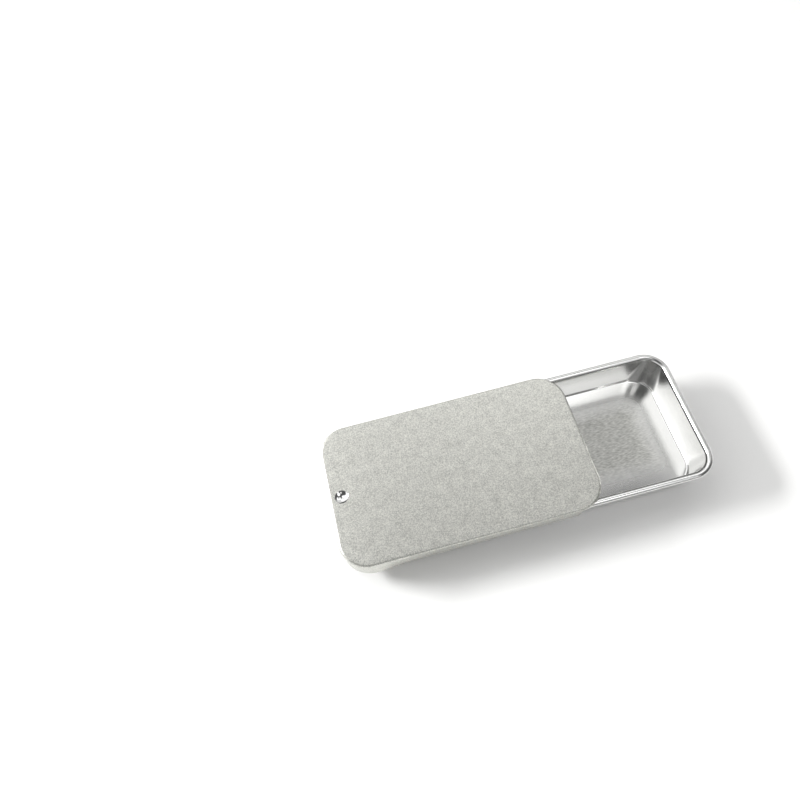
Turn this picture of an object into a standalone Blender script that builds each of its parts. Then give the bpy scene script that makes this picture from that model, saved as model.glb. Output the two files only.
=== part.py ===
"""A small candy tin: a drawn tray with a rolled rim, and a lid that slides along it.

Lengths are in metres and +Z is up. +X runs along the tin, towards the end of the tray that the lid
uncovers. The origin is the centre of the tray's underside. The lid stands part of the way open.
"""

import math
from collections import namedtuple

import bmesh
import bpy
from mathutils import Vector

# Stock
SHEET = 0.00022               # thickness of the tinplate

# Tray
TRAY_LENGTH = 0.0586          # over the rolled rim
TRAY_WIDTH = 0.03306          # over the rolled rim
TRAY_HEIGHT = 0.01028         # underside of the floor to the top of the rim
TRAY_CORNER_RADIUS = 0.0060   # in plan, at the outside of the rim
CURL_DIAMETER = 0.00135       # of the hollow roll along the rim
CURL_TURN = 225               # degrees, from the top of the rim round to the end of the roll
FLARE_RADIUS = 0.00095        # of the bend in which the wall opens out to the top of the roll
WALL_DRAFT = 0.00020          # how far a wall leans in between the flare and the floor
FLOOR_FILLET = 0.0005         # inside radius of the bend from wall to floor

# Running clearances between the lid and the tray
SIDE_GAP = 0.00025            # rim to the sides and the closed end of the lid
DIMPLE_PASS_GAP = 0.00008     # rim to the dimple that slides over it
EDGE_PASS_GAP = 0.00012       # rim to the lid's bent edge that slides over it

# Lid
LID_OVERHANG = 0.00093        # closed lid past the tray, at its open end
SKIRT_DEPTH = 0.0066          # top of the lid to the lower edge of its sides
RAIL_HEIGHT = 0.0026          # lower band of a long side, which is turned in below the rim
RAIL_TURN_IN = 0.0006         # how far that band leans in at its lower edge
RAIL_BEND_RADIUS = 0.0028     # of the soft bend along the top of the band
RAIL_RUN_IN = 0.0120          # length over which the band grows out of the plain corner
DIMPLE_RADIUS = 0.00155
DIMPLE_DEPTH = 0.00042
DIMPLE_FROM_WALL = 0.0008     # closed tin: inner side of the wall to the dimple's centre
SLIDE_OPEN = 0.0275           # how far the lid stands open

# Facets
CORNER_STEPS = 10
CURL_STEPS = 15
FLARE_STEPS = 5
FILLET_STEPS = 4
EDGE_STEPS = 4
RAIL_BEND_STEPS = 3
RUN_IN_STEPS = 6
DIMPLE_SIDES = 24
DIMPLE_RINGS = 4
SHARP_ANGLE = math.radians(25)

# Sizes that follow. Places out are measured from the edge of the rim
CURL_RADIUS = CURL_DIAMETER / 2
WALL_OUT = -CURL_RADIUS - FLARE_RADIUS
WALL_TOP = TRAY_HEIGHT - FLARE_RADIUS
TOP_GAP = DIMPLE_DEPTH + DIMPLE_PASS_GAP
LID_TOP = TRAY_HEIGHT + TOP_GAP + SHEET
LID_EDGE_RADIUS = SHEET + TOP_GAP - EDGE_PASS_GAP
LID_LENGTH = TRAY_LENGTH + SIDE_GAP + SHEET + LID_OVERHANG
LID_WIDTH = TRAY_WIDTH + 2 * (SIDE_GAP + SHEET)
LID_CORNER_RADIUS = TRAY_CORNER_RADIUS + SIDE_GAP + SHEET
LID_CLOSED_X = (LID_LENGTH - TRAY_LENGTH) / 2 - SIDE_GAP - SHEET
LID_EDGE_LOW = LID_TOP - LID_EDGE_RADIUS
SKIRT_LOW = LID_TOP - SKIRT_DEPTH
DIMPLE_X = SHEET + SIDE_GAP - WALL_OUT + DIMPLE_FROM_WALL - LID_LENGTH / 2

# A place round the edge of the lid, and how much of the turned-in band there is; none where no side hangs
Station = namedtuple("Station", "edge outward rail_share")


def remove_objects():
    for item in list(bpy.data.objects):
        bpy.data.objects.remove(item, do_unlink=True)


def arc(centre, radius, start_angle, end_angle, steps):
    """Points on an arc in a plane, and the directions in which they lie. Angles in degrees."""
    points = []
    for step in range(steps + 1):
        angle = math.radians(start_angle + (end_angle - start_angle) * step / steps)
        spoke = Vector((math.cos(angle), math.sin(angle)))
        points.append((centre + radius * spoke, spoke))
    return points


def rounded_corner(before, corner, after, radius, steps):
    """Points of the arc that rounds the corner of a line through three points."""
    back = (before - corner).normalized()
    ahead = (after - corner).normalized()
    half_angle = back.angle(ahead) / 2
    centre = corner + (back + ahead).normalized() * radius / math.sin(half_angle)
    first = corner + back * radius / math.tan(half_angle) - centre
    last = corner + ahead * radius / math.tan(half_angle) - centre
    return [centre + radius * first.slerp(last, step / steps).normalized() for step in range(steps + 1)]


def join_rings(bm, upper, lower):
    """Quads between two closed rings of vertices."""
    for index in range(len(upper)):
        bm.faces.new((upper[index - 1], upper[index], lower[index], lower[index - 1]))


def wall_lean(height):
    """How far a wall has leaned in at a height."""
    return WALL_DRAFT * (WALL_TOP - height) / (WALL_TOP - SHEET)


def tray_section():
    """The sheet in section, from the top of the floor, up, round the rolled rim and back under the floor.

    Each point is its place out from the rim, the lean of the wall there, and its height.
    """
    inner_top = Vector((WALL_OUT, WALL_TOP))
    inner_foot = Vector((WALL_OUT - wall_lean(SHEET), SHEET))
    inner_floor = Vector((-TRAY_WIDTH / 2, SHEET))
    outer_top = Vector((SHEET + WALL_OUT, WALL_TOP))
    outer_foot = Vector((SHEET + WALL_OUT - wall_lean(0), 0))
    outer_floor = Vector((-TRAY_WIDTH / 2, 0))
    inner_bend = rounded_corner(inner_floor, inner_foot, inner_top, FLOOR_FILLET, FILLET_STEPS)
    outer_bend = rounded_corner(outer_top, outer_foot, outer_floor, FLOOR_FILLET + SHEET, FILLET_STEPS)

    flare_centre = Vector((-CURL_RADIUS, WALL_TOP))
    curl_centre = Vector((-CURL_RADIUS, TRAY_HEIGHT - CURL_RADIUS))
    roll_out = arc(flare_centre, FLARE_RADIUS, 180, 90, FLARE_STEPS)
    roll_out += arc(curl_centre, CURL_RADIUS, 90, 90 - CURL_TURN, CURL_STEPS)[1:]
    roll_back = arc(curl_centre, CURL_RADIUS - SHEET, 90 - CURL_TURN, 90, CURL_STEPS)
    roll_back += arc(flare_centre, FLARE_RADIUS - SHEET, 90, 180, FLARE_STEPS)[1:]

    section = [(out + wall_lean(height), wall_lean(height), height) for out, height in inner_bend]
    section += [(point.x, 0, point.y) for point, spoke in roll_out + roll_back]
    section += [(out + wall_lean(height), wall_lean(height), height) for out, height in outer_bend]
    return section


def tray_ring(bm, out, lean, height):
    """One closed ring of the tray: a rectangle with round corners, offset from the edge of the rim."""
    across_x = TRAY_LENGTH / 2 - TRAY_CORNER_RADIUS - lean
    across_y = TRAY_WIDTH / 2 - TRAY_CORNER_RADIUS - lean
    corner_radius = TRAY_CORNER_RADIUS + out
    ring = []
    for quarter, (sign_x, sign_y) in enumerate(((1, 1), (-1, 1), (-1, -1), (1, -1))):
        centre = Vector((sign_x * across_x, sign_y * across_y))
        for point, spoke in arc(centre, corner_radius, 90 * quarter, 90 * quarter + 90, CORNER_STEPS):
            ring.append(bm.verts.new((point.x, point.y, height)))
    return ring


def build_tray():
    bm = bmesh.new()
    rings = [tray_ring(bm, out, lean, height) for out, lean, height in tray_section()]
    for upper, lower in zip(rings, rings[1:]):
        join_rings(bm, upper, lower)
    bm.faces.new(rings[0])
    bm.faces.new(rings[-1])
    return finish_mesh(bm, "tray", tinplate("tray_tinplate", (0.56, 0.56, 0.55, 1.0), 0.34))


def lid_stations():
    """Places round the lid: the back half from the open end to the closed end, and its mirror image."""
    across_x = LID_LENGTH / 2 - LID_CORNER_RADIUS
    across_y = LID_WIDTH / 2 - LID_CORNER_RADIUS
    open_corner = arc(Vector((across_x, across_y)), LID_CORNER_RADIUS, 0, 90, CORNER_STEPS)
    closed_corner = arc(Vector((-across_x, across_y)), LID_CORNER_RADIUS, 90, 180, CORNER_STEPS)

    back = [Station(edge, outward, None) for edge, outward in open_corner[:-1]]
    back.append(Station(*open_corner[-1], 1.0))
    corner_edge, outward = closed_corner[0]
    for step in range(RUN_IN_STEPS, 0, -1):
        share = step / RUN_IN_STEPS
        edge = corner_edge + Vector((RAIL_RUN_IN * share, 0))
        back.append(Station(edge, outward, share * share * (3 - 2 * share)))
    back += [Station(edge, outward, 0.0) for edge, outward in closed_corner]

    flip = Vector((1, -1))
    front = [Station(edge * flip, outward * flip, share) for edge, outward, share in reversed(back)]
    return back + front


def skirt_section():
    """A long side's outer face below the bent edge, as places out from the lid's edge and heights."""
    above = Vector((0, LID_EDGE_LOW))
    crease = Vector((0, SKIRT_LOW + RAIL_HEIGHT))
    lower_edge = Vector((-RAIL_TURN_IN, SKIRT_LOW))
    bend = rounded_corner(above, crease, lower_edge, RAIL_BEND_RADIUS, RAIL_BEND_STEPS)
    return [*bend, lower_edge]


def lid_column(bm, station):
    """Vertices down the lid's outer face at a station, and the matching ones down its inner face."""
    bend_centre = Vector((-LID_EDGE_RADIUS, LID_EDGE_LOW))
    outer = [point for point, spoke in arc(bend_centre, LID_EDGE_RADIUS, 90, 0, EDGE_STEPS)]
    inner = [point for point, spoke in arc(bend_centre, LID_EDGE_RADIUS - SHEET, 90, 0, EDGE_STEPS)]
    if station.rail_share is not None:
        for out, height in skirt_section():
            outer.append(Vector((out * station.rail_share, height)))
            inner.append(Vector((out * station.rail_share - SHEET, height)))
    column = []
    for face in (outer, inner):
        places = [(station.edge + out * station.outward, height) for out, height in face]
        column.append([bm.verts.new((place.x, place.y, height)) for place, height in places])
    return column


def join_columns(bm, here, there):
    """Faces between neighbouring columns: outer face, inner face and the edge of the sheet."""
    rows = min(len(here[0]), len(there[0]))
    for one, other in zip(here, there):
        for row in range(rows - 1):
            bm.faces.new((one[row], one[row + 1], other[row + 1], other[row]))
    last = rows - 1
    bm.faces.new((here[0][last], here[1][last], there[1][last], there[0][last]))


def close_cut_edge(bm, column):
    """The cut end of a side, from the bent edge down."""
    outer, inner = column
    for row in range(EDGE_STEPS, len(outer) - 1):
        bm.faces.new((outer[row], outer[row + 1], inner[row + 1], inner[row]))


def add_bowl(bm, bowl_radius, mouth_radius, plane_height):
    """A part of a sphere that hangs below a plane. Gives the ring of vertices round its mouth."""
    widest = math.asin(mouth_radius / bowl_radius)
    middle_height = plane_height + bowl_radius * math.cos(widest)
    rings = []
    for ring in range(DIMPLE_RINGS):
        tilt = widest * (1 - ring / DIMPLE_RINGS)
        height = middle_height - bowl_radius * math.cos(tilt)
        circle = arc(Vector((DIMPLE_X, 0)), bowl_radius * math.sin(tilt), 0, 360, DIMPLE_SIDES)[:-1]
        rings.append([bm.verts.new((point.x, point.y, height)) for point, spoke in circle])
    for upper, lower in zip(rings, rings[1:]):
        join_rings(bm, upper, lower)
    bottom = bm.verts.new((DIMPLE_X, 0, middle_height - bowl_radius))
    for index in range(DIMPLE_SIDES):
        bm.faces.new((rings[-1][index - 1], rings[-1][index], bottom))
    return rings[0]


def fill_panel(bm, outline, hole):
    """A flat face between the lid's edge and the mouth of the dimple."""
    edges = []
    for loop in (outline, hole):
        edges += [bm.edges.get((loop[index - 1], loop[index])) for index in range(len(loop))]
    bmesh.ops.triangle_fill(bm, use_beauty=True, use_dissolve=False, edges=edges)


def build_lid():
    bm = bmesh.new()
    columns = [lid_column(bm, station) for station in lid_stations()]
    for index, column in enumerate(columns):
        join_columns(bm, columns[index - 1], column)
        neighbours = (columns[index - 1], columns[(index + 1) % len(columns)])
        if len(column[0]) > min(len(outer) for outer, inner in neighbours):
            close_cut_edge(bm, column)

    bowl_radius = (DIMPLE_RADIUS**2 + DIMPLE_DEPTH**2) / (2 * DIMPLE_DEPTH)
    boss_radius = bowl_radius + SHEET
    boss_mouth = math.sqrt(boss_radius**2 - (boss_radius - DIMPLE_DEPTH)**2)
    dimple_mouth = add_bowl(bm, bowl_radius, DIMPLE_RADIUS, LID_TOP)
    boss_edge = add_bowl(bm, boss_radius, boss_mouth, LID_TOP - SHEET)
    fill_panel(bm, [outer[0] for outer, inner in columns], dimple_mouth)
    fill_panel(bm, [inner[0] for outer, inner in columns], boss_edge)
    return finish_mesh(bm, "sliding_lid", tinplate("lid_tinplate", (0.60, 0.60, 0.58, 1.0), 0.42))


def tinplate(name, colour, roughness):
    material = bpy.data.materials.new(name)
    material.use_nodes = True
    shader = material.node_tree.nodes["Principled BSDF"]
    shader.inputs["Base Color"].default_value = colour
    shader.inputs["Metallic"].default_value = 1.0
    shader.inputs["Roughness"].default_value = roughness
    return material


def finish_mesh(bm, name, material):
    """Turn the finished faces into a named object."""
    bmesh.ops.recalc_face_normals(bm, faces=bm.faces)
    mesh = bpy.data.meshes.new(name)
    bm.to_mesh(mesh)
    bm.free()
    mesh.materials.append(material)
    mesh.shade_smooth()
    mesh.set_sharp_from_angle(angle=SHARP_ANGLE)
    item = bpy.data.objects.new(name, mesh)
    bpy.context.scene.collection.objects.link(item)
    return item


def main():
    remove_objects()
    build_tray()
    lid = build_lid()

    # The lid slides along X from its closed place
    closed_place = bpy.data.objects.new("lid_closed_place", None)
    closed_place.location.x = LID_CLOSED_X
    bpy.context.scene.collection.objects.link(closed_place)
    lid.parent = closed_place
    lid.location.x = -SLIDE_OPEN


main()
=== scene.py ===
"""The finish of a small candy tin: fine meshes and tinplate surfaces for its tray and its sliding lid.

Lengths are in metres, +Z is up, and +X runs along the tin towards the end that the lid uncovers.
"""

import math
from collections import namedtuple

import bmesh
import bpy
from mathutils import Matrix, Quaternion, Vector, noise


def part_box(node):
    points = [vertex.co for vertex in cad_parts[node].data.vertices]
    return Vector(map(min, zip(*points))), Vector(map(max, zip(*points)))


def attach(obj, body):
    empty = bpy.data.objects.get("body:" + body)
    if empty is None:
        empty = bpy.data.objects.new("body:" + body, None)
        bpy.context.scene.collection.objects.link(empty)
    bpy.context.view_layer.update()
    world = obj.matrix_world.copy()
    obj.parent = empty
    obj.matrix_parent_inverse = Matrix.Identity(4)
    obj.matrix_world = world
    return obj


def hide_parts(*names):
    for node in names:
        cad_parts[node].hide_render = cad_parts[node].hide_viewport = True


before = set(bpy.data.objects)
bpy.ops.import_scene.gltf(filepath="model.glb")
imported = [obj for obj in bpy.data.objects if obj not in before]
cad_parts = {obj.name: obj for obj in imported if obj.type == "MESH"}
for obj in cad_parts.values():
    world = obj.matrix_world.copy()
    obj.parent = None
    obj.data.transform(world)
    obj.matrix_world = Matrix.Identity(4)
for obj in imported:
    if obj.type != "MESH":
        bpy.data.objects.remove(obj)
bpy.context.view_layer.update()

# Camera
CAMERA_PLACE = Vector((-0.04137, -0.04784, 0.14484))
CAMERA_AIM = Vector((-0.03517, 0.02581, 0))
CAMERA_ROLL = math.radians(-10.12)
CAMERA_LENS_MM = 27.81
CAMERA_NEAR = 0.001

# Both pieces
SHEET = 0.00022               # thickness of the tinplate
SIDE_GAP = 0.00025            # rim to the sides and the closed end of the lid

# Tray
TRAY_CORNER_RADIUS = 0.0060   # in plan, at the outside of the rim
CURL_DIAMETER = 0.00135       # of the hollow roll along the rim
CURL_TURN = 225               # degrees, from the top of the rim round to the end of the roll
FLARE_RADIUS = 0.00095        # of the bend in which the wall opens out to the top of the roll
WALL_DRAFT = 0.00020          # how far a wall leans in between the flare and the floor
CORNER_EASE = 0.0016          # the corners are this much rounder at the foot than at the rim
FLOOR_FILLET = 0.0005         # inside radius of the bend from wall to floor
FLOOR_SMOOTH = 0.0018         # the floor is smooth this far in from its bend
FLOOR_BLEND = 0.0065          # and turns mottled over this distance
LEAST_CORNER_RADIUS = 0.0010  # of the rings inside the floor
RIPPLE_LENGTH = 0.0045        # faint wrinkles that drawing leaves in the walls of the ends
RIPPLE_DEPTH = 0.00008

# Lid
RAIL_HEIGHT = 0.0026          # lower band of a long side, which is turned in below the rim
RAIL_TURN_IN = 0.0006         # how far that band leans in at its lower edge
RAIL_BEND_RADIUS = 0.0028     # of the soft bend along the top of the band
RAIL_RUN_IN = 0.0120          # length over which the band grows out of the plain corner
LID_EDGE_RADIUS = 0.0006      # of the bend from the lid's top to its sides
PANEL_BORDER = 0.0006         # flat ring beside the bend, so that the bend's shading ends there
DIMPLE_FROM_END = 0.00292     # closed end to the dimple's centre
DIMPLE_RADIUS = 0.00155
DIMPLE_DEPTH = 0.00042

# Facets
CORNER_STEPS = 28
CURL_STEPS = 40
FILLET_STEPS = 10
FLARE_STEPS = 16
WALL_STEPS = 12
EDGE_STEPS = 12
RAIL_BEND_STEPS = 8
RUN_IN_STEPS = 24
SIDE_STEPS = 24
DIMPLE_SIDES = 72
DIMPLE_RINGS = 14
SHARP_ANGLE = math.radians(22)

# Sizes read from the frame, and sizes that follow. A place out is measured from its piece's edge
tray_low, tray_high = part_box("tray")
lid_low, lid_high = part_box("sliding_lid")
TRAY_LENGTH = tray_high.x - tray_low.x
TRAY_WIDTH = tray_high.y - tray_low.y
CURL_RADIUS = CURL_DIAMETER / 2
WALL_OUT = -CURL_RADIUS - FLARE_RADIUS
WALL_TOP = tray_high.z - FLARE_RADIUS
LID_LENGTH = lid_high.x - lid_low.x
LID_WIDTH = lid_high.y - lid_low.y
LID_MIDDLE_X = (lid_high.x + lid_low.x) / 2
LID_TOP = lid_high.z
SKIRT_LOW = lid_low.z
LID_CORNER_RADIUS = TRAY_CORNER_RADIUS + SIDE_GAP + SHEET
LID_EDGE_LOW = LID_TOP - LID_EDGE_RADIUS
DIMPLE_X = lid_low.x + DIMPLE_FROM_END

# Tinplate finish
GRAIN_SCALE = 3700            # per metre
GRAIN_DETAIL = 2.0
GRAIN_RANGE = (0.30, 0.70)
CLOUD_SCALE = 450             # per metre
CLOUD_SHARE = 0.2
DRAWN_TONE = (0.76, 0.76, 0.75, 1)
DRAWN_ROUGHNESS = 0.17
LID_ROUGHNESS = 0.38
TRAY_ROUGHNESS = 0.45
BURNISHED_ROUGHNESS = 0.08
LID_DARK = (0.43, 0.43, 0.405, 1)
LID_LIGHT = (0.87, 0.87, 0.81, 1)
LID_STRETCH = (1.0, 1.0, 1.0)
TRAY_DARK = (0.37, 0.37, 0.35, 1)
TRAY_LIGHT = (0.72, 0.72, 0.69, 1)
TRAY_STRETCH = (0.28, 1.0, 1.0)

# Studio. Directions are in degrees: azimuth from +X towards +Y, and elevation
FLOOR_SIZE = 4.0
PAPER_TONE = (0.93, 0.93, 0.92, 1)
PAPER_TONE_SEEN = (1.05, 1.05, 1.04, 1)
PAPER_ROUGHNESS = 0.9
PAPER_SHINE = 0.1
KEY_AZIMUTH = 157
KEY_ELEVATION = 28
KEY_DISTANCE = 0.70
KEY_WIDTH = 0.25
KEY_HEIGHT = 0.08
KEY_POWER = 4.2
SKY_COLOUR = (1.0, 1.0, 1.0, 1.0)
SKY_LEVEL = 0.12
Patch = namedtuple("Patch", "azimuth elevation full_radius end_radius level")
SKY_PATCHES = (               # a later patch lies over the earlier ones
    # Softboxes behind the tin
    Patch(70, 42, 14, 28, 0.85),
    Patch(50, 59, 8, 18, 1.95),
    Patch(108, 44, 14, 23, 1.35),
    # A wide window at the back left
    Patch(135, 38, 16, 24, 1.40),
    Patch(170, 30, 15, 25, 1.40),
    Patch(126, 56, 6, 13, 1.20),
    Patch(156, 49, 6, 13, 2.10),
    Patch(138, 67, 5, 13, 1.60),
    # Softboxes at the front right
    Patch(303, 55, 5, 12, 1.35),
    Patch(302, 32, 5, 12, 1.20),
    Patch(322, 72, 6, 14, 2.20),
    # Low light from the right, the front and the left
    Patch(12, 18, 12, 22, 1.00),
    Patch(268, 30, 12, 27, 0.45),
    Patch(215, 20, 14, 26, 0.90),
    # Dark gaps, which darken the tray's floor and its inner corner
    Patch(42, 64, 3, 10, 0.15),
    Patch(183, 54, 8, 15, 0.10),
    Patch(206, 54, 9, 16, 0.10),
    Patch(231, 54, 8, 14, 0.12),
    # A small softbox high at the front
    Patch(252, 68, 3, 9, 1.30),
)

Station = namedtuple("Station", "edge outward rail_share")


def arc(centre, radius, start_angle, end_angle, steps):
    """Points on an arc in a plane, and the directions in which they lie. Angles in degrees."""
    points = []
    for step in range(steps + 1):
        angle = math.radians(start_angle + (end_angle - start_angle) * step / steps)
        spoke = Vector((math.cos(angle), math.sin(angle)))
        points.append((centre + radius * spoke, spoke))
    return points


def rounded_corner(before, corner, after, radius, steps):
    """Points of the arc that rounds the corner of a line through three points."""
    back = (before - corner).normalized()
    ahead = (after - corner).normalized()
    half_angle = back.angle(ahead) / 2
    centre = corner + (back + ahead).normalized() * radius / math.sin(half_angle)
    first = corner + back * radius / math.tan(half_angle) - centre
    last = corner + ahead * radius / math.tan(half_angle) - centre
    return [centre + radius * first.slerp(last, step / steps).normalized() for step in range(steps + 1)]


def join_rings(bm, upper, lower):
    for index in range(len(upper)):
        bm.faces.new((upper[index - 1], upper[index], lower[index], lower[index - 1]))


def wall_lean(height):
    return WALL_DRAFT * (WALL_TOP - height) / (WALL_TOP - SHEET)


def between(first, last, steps):
    """Points on a straight line, without its two ends."""
    return [first.lerp(last, step / steps) for step in range(1, steps)]


def leaned(section):
    """Rows for points on wall and floor: place out, the wall's lean, height, and how smooth it is."""
    rows = []
    for (out, height), drawn in section:
        lean = wall_lean(height)
        rows.append((out + lean, lean, height, drawn))
    return rows


def tray_section():
    """The sheet in section as such rows, from the inner floor over the rim to the underside."""
    inner_top = Vector((WALL_OUT, WALL_TOP))
    inner_foot = Vector((WALL_OUT - wall_lean(SHEET), SHEET))
    inner_floor = Vector((-TRAY_WIDTH / 2, SHEET))
    outer_top = Vector((SHEET + WALL_OUT, WALL_TOP))
    outer_foot = Vector((SHEET + WALL_OUT - wall_lean(0), 0))
    outer_floor = Vector((-TRAY_WIDTH / 2, 0))
    inner_bend = rounded_corner(inner_floor, inner_foot, inner_top, FLOOR_FILLET, FILLET_STEPS)
    outer_bend = rounded_corner(outer_top, outer_foot, outer_floor, FLOOR_FILLET + SHEET, FILLET_STEPS)
    inner_wall = between(inner_bend[-1], inner_top, WALL_STEPS)
    outer_wall = between(outer_top, outer_bend[0], WALL_STEPS)

    flare_centre = Vector((-CURL_RADIUS, WALL_TOP))
    curl_centre = Vector((-CURL_RADIUS, tray_high.z - CURL_RADIUS))
    roll_out = arc(flare_centre, FLARE_RADIUS, 180, 90, FLARE_STEPS)
    roll_out += arc(curl_centre, CURL_RADIUS, 90, 90 - CURL_TURN, CURL_STEPS)[1:]
    roll_back = arc(curl_centre, CURL_RADIUS - SHEET, 90 - CURL_TURN, 90, CURL_STEPS)
    roll_back += arc(flare_centre, FLARE_RADIUS - SHEET, 90, 180, FLARE_STEPS)[1:]

    smooth = Vector((FLOOR_SMOOTH, 0))
    blend = Vector((FLOOR_SMOOTH + FLOOR_BLEND, 0))
    inside = [(inner_bend[0] - blend, 0.0), (inner_bend[0] - smooth, 1.0)]
    inside += [(point, 1.0) for point in inner_bend + inner_wall]
    roll = [(point.x, 0, point.y, 1.0) for point, spoke in roll_out + roll_back]
    outside = [(point, 1.0) for point in outer_wall + outer_bend]
    outside += [(outer_bend[-1] - smooth, 1.0), (outer_bend[-1] - blend, 0.0)]
    return leaned(inside) + roll + leaned(outside)


def rounded_ring(length, width, radius, out):
    """Points round a rectangle with round corners, offset outwards, and the way out at each of them."""
    corner_radius = max(radius + out, LEAST_CORNER_RADIUS)
    across_x = length / 2 + out - corner_radius
    across_y = width / 2 + out - corner_radius
    corners = []
    for quarter, (sign_x, sign_y) in enumerate(((1, 1), (-1, 1), (-1, -1), (1, -1))):
        centre = Vector((sign_x * across_x, sign_y * across_y))
        corners.append(arc(centre, corner_radius, 90 * quarter, 90 * quarter + 90, CORNER_STEPS))
    ring = []
    for quarter, corner in enumerate(corners):
        last_point, outward = corner[-1]
        next_point = corners[(quarter + 1) % len(corners)][0][0]
        ring += corner
        ring += [(point, outward) for point in between(last_point, next_point, SIDE_STEPS)]
    return ring


def ripple(point, height):
    """How far a wall stands out at a place: nothing at rim and floor, and a trace round the ends."""
    up_share = height / WALL_TOP
    end_share = (abs(point.x) - TRAY_LENGTH / 2) / TRAY_CORNER_RADIUS + 1
    if not 0 < up_share < 1 or end_share < 0:
        return 0.0
    wave = noise.noise(Vector((point.x, point.y, height)) / RIPPLE_LENGTH)
    return RIPPLE_DEPTH * wave * math.sin(math.pi * up_share) ** 2 * min(end_share, 1)


def build_tray():
    bm = bmesh.new()
    drawn_layer = bm.verts.layers.float.new("drawn")
    rings = []
    for out, lean, height, drawn in tray_section():
        ring = []
        length = TRAY_LENGTH - 2 * lean
        width = TRAY_WIDTH - 2 * lean
        corner_radius = TRAY_CORNER_RADIUS + CORNER_EASE * lean / WALL_DRAFT
        for point, outward in rounded_ring(length, width, corner_radius, out):
            place = point + outward * ripple(point, height) * (lean > 0)
            vertex = bm.verts.new((place.x, place.y, height))
            vertex[drawn_layer] = drawn
            ring.append(vertex)
        rings.append(ring)
    for upper, lower in zip(rings, rings[1:]):
        join_rings(bm, upper, lower)
    bm.faces.new(rings[0])
    bm.faces.new(rings[-1])
    sheet = tinplate("tray_tinplate", TRAY_DARK, TRAY_LIGHT, TRAY_STRETCH, TRAY_ROUGHNESS)
    tray = finish_mesh(bm, "tray_shell", (sheet,))
    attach(tray, "tray")
    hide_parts("tray")


def ease(share):
    """A share of 0 to 1, with a soft start and a soft end."""
    return share * share * (3 - 2 * share)


def lid_stations():
    """Places round the lid: the back half from the open end to the closed end, and its mirror image.

    A station's rail share says how far its lower band is turned in. At the open end there is no skirt.
    """
    across_x = LID_LENGTH / 2 - LID_CORNER_RADIUS
    across_y = LID_WIDTH / 2 - LID_CORNER_RADIUS
    middle = Vector((LID_MIDDLE_X, 0))
    open_corner = arc(middle + Vector((across_x, across_y)), LID_CORNER_RADIUS, 0, 90, CORNER_STEPS)
    closed_corner = arc(middle + Vector((-across_x, across_y)), LID_CORNER_RADIUS, 90, 180, CORNER_STEPS)

    back = [Station(edge, outward, None) for edge, outward in open_corner[:-1]]
    back.append(Station(*open_corner[-1], 1.0))
    corner_edge, outward = closed_corner[0]
    for step in range(RUN_IN_STEPS, 0, -1):
        share = step / RUN_IN_STEPS
        edge = corner_edge + Vector((RAIL_RUN_IN * share, 0))
        back.append(Station(edge, outward, ease(share)))
    back += [Station(edge, outward, 0.0) for edge, outward in closed_corner]

    flip = Vector((1, -1))
    front = []
    for edge, outward, rail_share in reversed(back):
        front.append(Station(edge * flip, outward * flip, rail_share))
    return back + front


def skirt_section():
    """Points down a long side whose band is turned in: the soft bend, and the lower edge."""
    above = Vector((0, LID_EDGE_LOW))
    crease = Vector((0, SKIRT_LOW + RAIL_HEIGHT))
    lower_edge = Vector((-RAIL_TURN_IN, SKIRT_LOW))
    bend = rounded_corner(above, crease, lower_edge, RAIL_BEND_RADIUS, RAIL_BEND_STEPS)
    return [*bend, lower_edge]


def lid_column(bm, station):
    """Vertices down the lid's outer face at a station, and the matching ones down its inner face."""
    bend_centre = Vector((-LID_EDGE_RADIUS, LID_EDGE_LOW))
    border = Vector((PANEL_BORDER, 0))
    outer = [point for point, spoke in arc(bend_centre, LID_EDGE_RADIUS, 90, 0, EDGE_STEPS)]
    inner = [point for point, spoke in arc(bend_centre, LID_EDGE_RADIUS - SHEET, 90, 0, EDGE_STEPS)]
    outer.insert(0, outer[0] - border)
    inner.insert(0, inner[0] - border)
    if station.rail_share is not None:
        for out, height in skirt_section():
            outer.append(Vector((out * station.rail_share, height)))
            inner.append(Vector((out * station.rail_share - SHEET, height)))
    column = []
    for face in (outer, inner):
        vertices = []
        for out, height in face:
            place = station.edge + out * station.outward
            vertices.append(bm.verts.new((place.x, place.y, height)))
        column.append(vertices)
    return column


def join_columns(bm, here, there):
    """Outer and inner faces between two columns, as far down as both reach, and the edge below them."""
    rows = min(len(here[0]), len(there[0]))
    for one, other in zip(here, there):
        for row in range(rows - 1):
            bm.faces.new((one[row], one[row + 1], other[row + 1], other[row]))
    last = rows - 1
    bm.faces.new((here[0][last], here[1][last], there[1][last], there[0][last]))


def close_cut_edge(bm, column):
    """The cut edge of the sheet, down the column where the skirt starts."""
    outer, inner = column
    for row in range(EDGE_STEPS + 1, len(outer) - 1):
        bm.faces.new((outer[row], outer[row + 1], inner[row + 1], inner[row]))


def add_bowl(bm, bowl_radius, mouth_radius, plane_height):
    """A part of a sphere that hangs below a plane. Gives the ring of vertices round its mouth."""
    widest = math.asin(mouth_radius / bowl_radius)
    middle_height = plane_height + bowl_radius * math.cos(widest)
    rings = []
    for ring in range(DIMPLE_RINGS):
        tilt = widest * (1 - ring / DIMPLE_RINGS)
        height = middle_height - bowl_radius * math.cos(tilt)
        circle = arc(Vector((DIMPLE_X, 0)), bowl_radius * math.sin(tilt), 0, 360, DIMPLE_SIDES)[:-1]
        rings.append([bm.verts.new((point.x, point.y, height)) for point, spoke in circle])
    first_face = len(bm.faces)
    for upper, lower in zip(rings, rings[1:]):
        join_rings(bm, upper, lower)
    bottom = bm.verts.new((DIMPLE_X, 0, middle_height - bowl_radius))
    for index in range(DIMPLE_SIDES):
        bm.faces.new((rings[-1][index - 1], rings[-1][index], bottom))
    bm.faces.ensure_lookup_table()
    for face in bm.faces[first_face:]:
        face.material_index = 1
    return rings[0]


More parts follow.
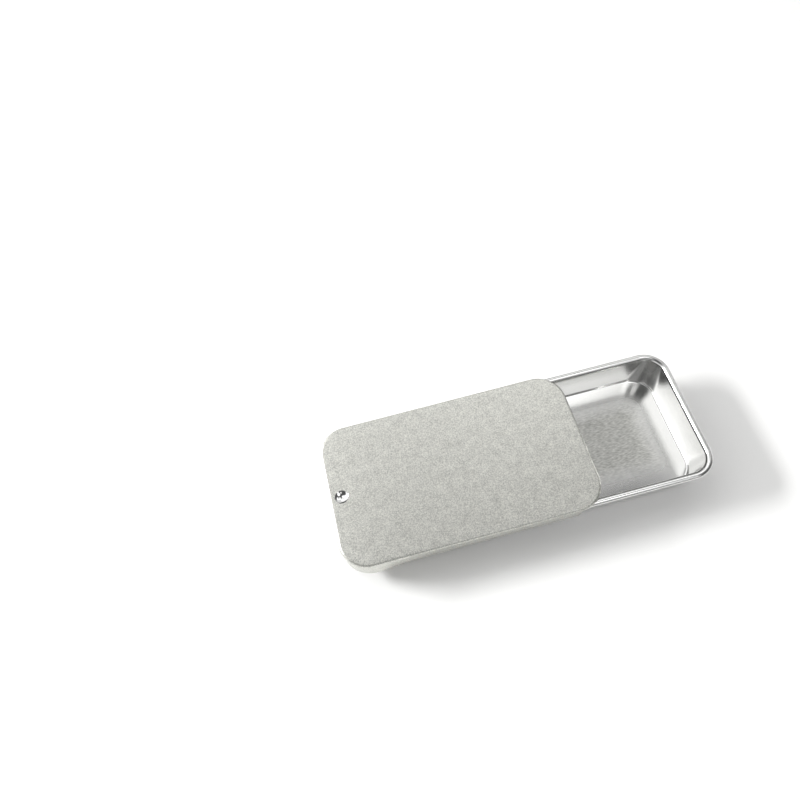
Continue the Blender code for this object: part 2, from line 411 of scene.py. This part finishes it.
def fill_panel(bm, outline, hole):
    """Two flat faces between the lid's edge and the dimple's mouth, one at the back, one at the front."""
    half = len(outline) // 2
    hole_half = len(hole) // 2
    bm.faces.new(outline[:half] + hole[hole_half::-1])
    bm.faces.new(outline[half - 1:] + outline[:1] + hole[:1] + hole[:hole_half - 1:-1])


def build_lid():
    bm = bmesh.new()
    columns = [lid_column(bm, station) for station in lid_stations()]
    for index, column in enumerate(columns):
        join_columns(bm, columns[index - 1], column)
        neighbours = (columns[index - 1], columns[(index + 1) % len(columns)])
        if len(column[0]) > min(len(outer) for outer, inner in neighbours):
            close_cut_edge(bm, column)

    bowl_radius = (DIMPLE_RADIUS**2 + DIMPLE_DEPTH**2) / (2 * DIMPLE_DEPTH)
    boss_radius = bowl_radius + SHEET
    boss_mouth = math.sqrt(boss_radius**2 - (boss_radius - DIMPLE_DEPTH)**2)
    dimple_mouth = add_bowl(bm, bowl_radius, DIMPLE_RADIUS, LID_TOP)
    boss_edge = add_bowl(bm, boss_radius, boss_mouth, LID_TOP - SHEET)
    fill_panel(bm, [outer[0] for outer, inner in columns], dimple_mouth)
    fill_panel(bm, [inner[0] for outer, inner in columns], boss_edge)
    sheet = tinplate("lid_tinplate", LID_DARK, LID_LIGHT, LID_STRETCH, LID_ROUGHNESS)
    lid = finish_mesh(bm, "lid_shell", (sheet, burnished("lid_dimple")))
    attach(lid, "lid")
    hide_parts("sliding_lid")


def link_to_scene(item):
    bpy.context.scene.collection.objects.link(item)
    return item


def finish_mesh(bm, name, materials):
    bmesh.ops.recalc_face_normals(bm, faces=bm.faces)
    mesh = bpy.data.meshes.new(name)
    bm.to_mesh(mesh)
    bm.free()
    for material in materials:
        mesh.materials.append(material)
    mesh.shade_smooth()
    mesh.set_sharp_from_angle(angle=SHARP_ANGLE)
    return link_to_scene(bpy.data.objects.new(name, mesh))


def add_node(tree, kind, settings, inputs):
    """A node with its settings, and its inputs by name: each a value, or the output that feeds it."""
    node = tree.nodes.new(kind)
    for name, value in settings.items():
        setattr(node, name, value)
    for name, value in inputs.items():
        if isinstance(value, bpy.types.NodeSocket):
            tree.links.new(value, node.inputs[name])
        else:
            node.inputs[name].default_value = value
    return node


def new_material(name):
    material = bpy.data.materials.new(name)
    material.use_nodes = True
    return material, material.node_tree, material.node_tree.nodes["Principled BSDF"]


def tinplate(name, dark_tone, light_tone, grain_stretch, flat_roughness):
    """Plain tinplate: mottled, and smooth where the mesh's drawn layer says so. The lid has none."""
    material, tree, shader = new_material(name)
    place = add_node(tree, "ShaderNodeTexCoord", {}, {}).outputs["Object"]
    drawn = add_node(tree, "ShaderNodeAttribute", {"attribute_name": "drawn"}, {}).outputs["Fac"]

    stretched = add_node(tree, "ShaderNodeMapping", {}, {"Vector": place, "Scale": grain_stretch})
    grain = add_node(tree, "ShaderNodeTexNoise", {}, {
        "Vector": stretched.outputs["Vector"], "Scale": GRAIN_SCALE, "Detail": GRAIN_DETAIL})
    clouds = add_node(tree, "ShaderNodeTexNoise", {}, {"Vector": place, "Scale": CLOUD_SCALE})
    both = add_node(tree, "ShaderNodeMix", {"data_type": "FLOAT"}, {
        "Factor": CLOUD_SHARE, "A": grain.outputs["Fac"], "B": clouds.outputs["Fac"]})
    spread = add_node(tree, "ShaderNodeMapRange", {}, {
        "Value": both.outputs["Result"], "From Min": GRAIN_RANGE[0], "From Max": GRAIN_RANGE[1]})
    mottle = add_node(tree, "ShaderNodeMixRGB", {}, {
        "Fac": spread.outputs["Result"], "Color1": dark_tone, "Color2": light_tone})
    tone = add_node(tree, "ShaderNodeMixRGB", {}, {
        "Fac": drawn, "Color1": mottle.outputs["Color"], "Color2": DRAWN_TONE})
    roughness = add_node(tree, "ShaderNodeMapRange", {}, {
        "Value": drawn, "To Min": flat_roughness, "To Max": DRAWN_ROUGHNESS})

    shader.inputs["Metallic"].default_value = 1.0
    tree.links.new(tone.outputs["Color"], shader.inputs["Base Color"])
    tree.links.new(roughness.outputs["Result"], shader.inputs["Roughness"])
    return material


def burnished(name):
    """The dimple, which the punch has polished a little unevenly."""
    material, tree, shader = new_material(name)
    place = add_node(tree, "ShaderNodeTexCoord", {}, {}).outputs["Object"]
    marks = add_node(tree, "ShaderNodeTexNoise", {}, {
        "Vector": place, "Scale": GRAIN_SCALE, "Detail": GRAIN_DETAIL})
    roughness = add_node(tree, "ShaderNodeMapRange", {}, {
        "Value": marks.outputs["Fac"],
        "To Min": BURNISHED_ROUGHNESS / 2,
        "To Max": BURNISHED_ROUGHNESS * 2})
    shader.inputs["Metallic"].default_value = 1.0
    shader.inputs["Base Color"].default_value = DRAWN_TONE
    tree.links.new(roughness.outputs["Result"], shader.inputs["Roughness"])
    return material


def looked_at(tree):
    """1 for a ray from the camera, or for one by way of metal or glass, and otherwise 0."""
    light_path = add_node(tree, "ShaderNodeLightPath", {}, {})
    last = light_path.outputs["Is Camera Ray"]
    for name in ("Is Glossy Ray", "Is Transmission Ray"):
        either = add_node(tree, "ShaderNodeMath", {"operation": "MAXIMUM"}, {
            0: last, 1: light_path.outputs[name]})
        last = either.outputs["Value"]
    return last


def build_floor():
    """White paper. Seen straight or in the metal, it is a little whiter than the lamps make it."""
    mesh = bpy.data.meshes.new("floor")
    half = FLOOR_SIZE / 2
    corners = [(-half, -half, 0), (half, -half, 0), (half, half, 0), (-half, half, 0)]
    mesh.from_pydata(corners, [], [(0, 1, 2, 3)])
    material, tree, shader = new_material("white_paper")
    tone = add_node(tree, "ShaderNodeMixRGB", {}, {
        "Fac": looked_at(tree), "Color1": PAPER_TONE, "Color2": PAPER_TONE_SEEN})
    tree.links.new(tone.outputs["Color"], shader.inputs["Base Color"])
    shader.inputs["Roughness"].default_value = PAPER_ROUGHNESS
    shader.inputs["Specular IOR Level"].default_value = PAPER_SHINE
    mesh.materials.append(material)
    link_to_scene(bpy.data.objects.new("floor", mesh))


def towards(azimuth, elevation):
    """The direction to a place in the sky."""
    turn = math.radians(azimuth)
    tilt = math.radians(elevation)
    return Vector((math.cos(tilt) * math.cos(turn), math.cos(tilt) * math.sin(turn), math.sin(tilt)))


def build_world():
    """A soft studio sky of round patches with soft edges, and plain white to the camera."""
    world = bpy.data.worlds.new("studio")
    bpy.context.scene.world = world
    world.use_nodes = True
    tree = world.node_tree
    direction = add_node(tree, "ShaderNodeTexCoord", {}, {}).outputs["Generated"]
    level = SKY_LEVEL
    for patch in SKY_PATCHES:
        centre = towards(patch.azimuth, patch.elevation)
        dot = add_node(tree, "ShaderNodeVectorMath", {"operation": "DOT_PRODUCT"}, {
            0: direction, 1: centre})
        share = add_node(tree, "ShaderNodeMapRange", {"interpolation_type": "SMOOTHSTEP"}, {
            "Value": dot.outputs["Value"],
            "From Min": math.cos(math.radians(patch.end_radius)),
            "From Max": math.cos(math.radians(patch.full_radius))})
        mix = add_node(tree, "ShaderNodeMix", {"data_type": "FLOAT"}, {
            "Factor": share.outputs["Result"], "A": level, "B": patch.level})
        level = mix.outputs["Result"]
    light_path = add_node(tree, "ShaderNodeLightPath", {}, {})
    seen = add_node(tree, "ShaderNodeMix", {"data_type": "FLOAT"}, {
        "Factor": light_path.outputs["Is Camera Ray"], "A": level, "B": 1.0})
    background = tree.nodes["Background"]
    background.inputs["Color"].default_value = SKY_COLOUR
    tree.links.new(seen.outputs["Result"], background.inputs["Strength"])


def build_key_light():
    """One wide, low softbox behind the left shoulder of the tin."""
    data = bpy.data.lights.new("key", "AREA")
    data.shape = "ELLIPSE"
    data.size = KEY_WIDTH
    data.size_y = KEY_HEIGHT
    data.energy = KEY_POWER
    key = link_to_scene(bpy.data.objects.new("key", data))
    key.location = towards(KEY_AZIMUTH, KEY_ELEVATION) * KEY_DISTANCE
    key.rotation_mode = "QUATERNION"
    key.rotation_quaternion = (-key.location).to_track_quat("-Z", "Y")


def build_camera():
    data = bpy.data.cameras.new("camera")
    data.lens = CAMERA_LENS_MM
    data.clip_start = CAMERA_NEAR
    camera = link_to_scene(bpy.data.objects.new("camera", data))
    camera.location = CAMERA_PLACE
    camera.rotation_mode = "QUATERNION"
    facing = (CAMERA_AIM - CAMERA_PLACE).to_track_quat("-Z", "Y")
    camera.rotation_quaternion = facing @ Quaternion((0, 0, 1), CAMERA_ROLL)
    bpy.context.scene.camera = camera


build_tray()
build_lid()
build_floor()
build_world()
build_key_light()
build_camera()
bpy.context.scene.view_settings.view_transform = "Standard"
